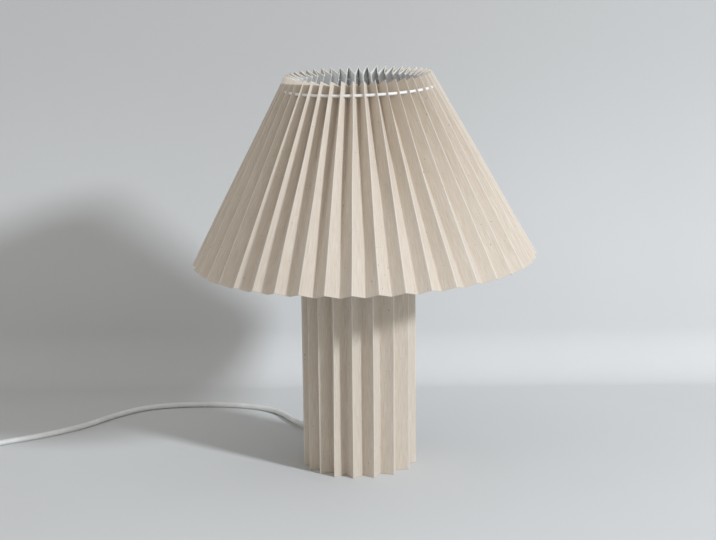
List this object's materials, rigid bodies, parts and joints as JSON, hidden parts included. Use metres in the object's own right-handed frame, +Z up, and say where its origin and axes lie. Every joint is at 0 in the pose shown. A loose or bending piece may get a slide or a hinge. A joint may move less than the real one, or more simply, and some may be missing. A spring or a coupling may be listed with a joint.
{
  "type": "table lamp",
  "caption": "Small table lamp with a pleated drum column and a pleated cone shade in natural linen paper, on a white cord with an inline rocker switch and a plug",
  "frame": {"origin": "on the floor, in the middle of the foot pad, on the column's axis", "axes": "+Z up along the column, -Y towards the viewer of the picture, +X to the viewer's right; the cord leaves to the back left"},
  "size_m": [0.6369, 0.3265, 0.3486],
  "materials": {
    "pleated_linen_paper": "natural linen laminated on paper, matt, fine fibres along the pleats",
    "grey_card": "wound card tube, matt",
    "felt": "dark felt",
    "fibreboard": "plain fibreboard, matt",
    "zinc_plated_steel": "zinc plated, dull",
    "white_wire": "white powder coat",
    "white_plastic": "white, half gloss",
    "grey_contact_plastic": "heat-proof moulding, matt",
    "nickel_plated_brass": "plated, bright",
    "bulb_aluminium": "rolled, bright",
    "bulb_insulation": "black glass-like bead",
    "opal_plastic": "opal, faintly see-through",
    "white_flex": "white round cord, satin",
    "plug_pin_metal": "nickel plated"
  },
  "bodies": {
    "base": {"pleated_column": "pleated_linen_paper", "column_tube": "grey_card", "foot_pad": "felt", "base_plate": "fibreboard", "column_cap": "fibreboard", "ballast_disc": "zinc_plated_steel", "base_screws": "zinc_plated_steel", "cord_clamp": "zinc_plated_steel", "clamp_screws": "zinc_plated_steel", "threaded_tube": "zinc_plated_steel", "cap_washer": "zinc_plated_steel", "cap_nut": "zinc_plated_steel", "switch_screws": "zinc_plated_steel", "cord_gland": "white_plastic", "gland_nut": "white_plastic", "holder_base": "white_plastic", "holder_shell": "white_plastic", "shade_collar": "white_plastic", "coil_tie": "white_plastic", "switch_base": "white_plastic", "switch_cover": "white_plastic", "plug_body": "white_plastic", "contact_carrier": "grey_contact_plastic", "threaded_sleeve": "nickel_plated_brass", "centre_contact": "nickel_plated_brass", "terminal_screws": "nickel_plated_brass", "switch_contacts": "nickel_plated_brass", "cord_run": "white_flex", "inner_lead": "white_flex", "cord_tail": "white_flex", "cord_coil": "white_flex", "cord_end": "white_flex", "plug_pins": "plug_pin_metal"},
    "shade": {"pleated_shade": "pleated_linen_paper", "top_ring": "white_wire", "shade_arms": "white_wire", "fitter_ring": "white_wire"},
    "bulb_lift": {"bulb_tip": "bulb_aluminium", "bulb_insulator": "bulb_insulation"},
    "bulb": {"bulb_cap": "bulb_aluminium", "bulb_housing": "white_plastic", "led_board": "bulb_aluminium", "bulb_dome": "opal_plastic"},
    "rocker": {"switch_rocker": "white_plastic"}
  },
  "joints": [
    {"name": "shade_turn", "type": "hinge", "parent": "base", "child": "shade", "pos_m": [0, 0, 0.24], "axis": [0, 0, 1], "continuous": true},
    {"name": "bulb_rise", "type": "slide", "parent": "base", "child": "bulb_lift", "axis": [0, 0, 1], "range_m": [0, 0.00845]},
    {"name": "bulb_turn", "type": "hinge", "parent": "bulb_lift", "child": "bulb", "pos_m": [0, 0, 0.25], "axis": [0, 0, 1], "range_deg": [0, 1080]},
    {"name": "rocker_press", "type": "hinge", "parent": "base", "child": "rocker", "pos_m": [-0.362, -0.038, 0.015], "axis": [1, 0, 0], "range_deg": [0, 14]}
  ],
  "couplings": [
    {"joint": "bulb_turn", "follows": "bulb_rise", "rad_per_m": 2228}
  ]
}
